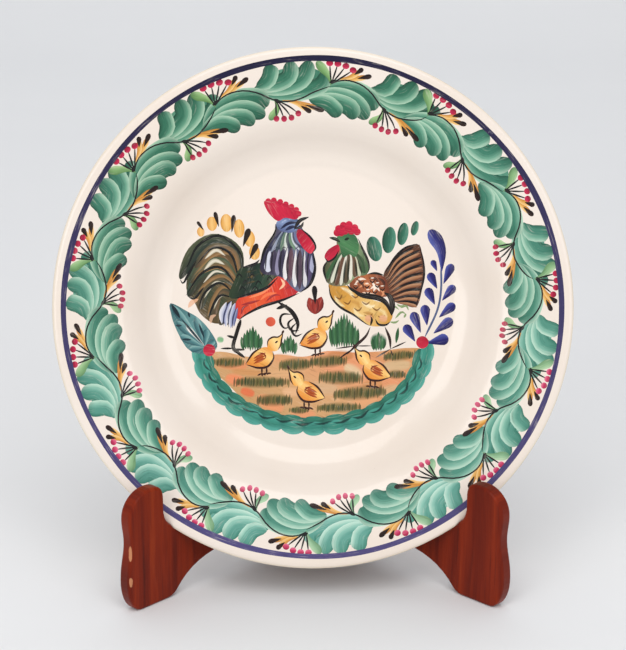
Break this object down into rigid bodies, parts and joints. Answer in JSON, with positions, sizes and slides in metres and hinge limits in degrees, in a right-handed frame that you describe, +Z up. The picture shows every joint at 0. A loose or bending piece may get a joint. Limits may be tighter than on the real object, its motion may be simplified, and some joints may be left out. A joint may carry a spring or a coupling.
{
  "type": "hand painted display plate on a folding wooden stand",
  "caption": "Round glazed ceramic charger painted with a rooster, a hen and a leafy vine border, leaning on a folding wooden plate stand.",
  "frame": {"origin": "on the ground, under the middle of the whole object", "axes": "+Z up, -Y the way the painted face looks, +X to the right of someone looking at it"},
  "size_m": [0.32, 0.1302, 0.3258],
  "materials": {
    "painted_glaze": "glossy cream tin glaze, hand painted",
    "varnished_wood": "red-brown gloss varnish, worn at the edges",
    "clear_vinyl": "milky clear, soft",
    "hinge_brass": "satin, slightly aged"
  },
  "bodies": {
    "left_board": {"left_leg": "varnished_wood", "left_rim_pad": "clear_vinyl", "lower_hinge_left_leaf": "hinge_brass", "lower_hinge_left_screw_1": "hinge_brass", "lower_hinge_left_screw_2": "hinge_brass", "upper_hinge_left_leaf": "hinge_brass", "upper_hinge_left_screw_1": "hinge_brass", "upper_hinge_left_screw_2": "hinge_brass", "lower_hinge_pin": "hinge_brass", "upper_hinge_pin": "hinge_brass"},
    "right_board": {"right_leg": "varnished_wood", "right_rim_pad": "clear_vinyl", "lower_hinge_right_leaf": "hinge_brass", "lower_hinge_right_screw_1": "hinge_brass", "lower_hinge_right_screw_2": "hinge_brass", "upper_hinge_right_leaf": "hinge_brass", "upper_hinge_right_screw_1": "hinge_brass", "upper_hinge_right_screw_2": "hinge_brass"},
    "plate_body": {"plate": "painted_glaze"}
  },
  "joints": [
    {"name": "plate_lift", "type": "slide", "parent": "left_board", "child": "plate_body", "axis": [0, 0, 1], "range_m": [0, 0.23]},
    {"name": "stand_fold", "type": "hinge", "parent": "left_board", "child": "right_board", "pos_m": [0, 0.04631, 0.08], "axis": [0, 0, -1], "range_deg": [0, 88]}
  ],
  "couplings": [
    {"joint": "stand_fold", "follows": "plate_lift", "rad_per_m": 6.6}
  ]
}
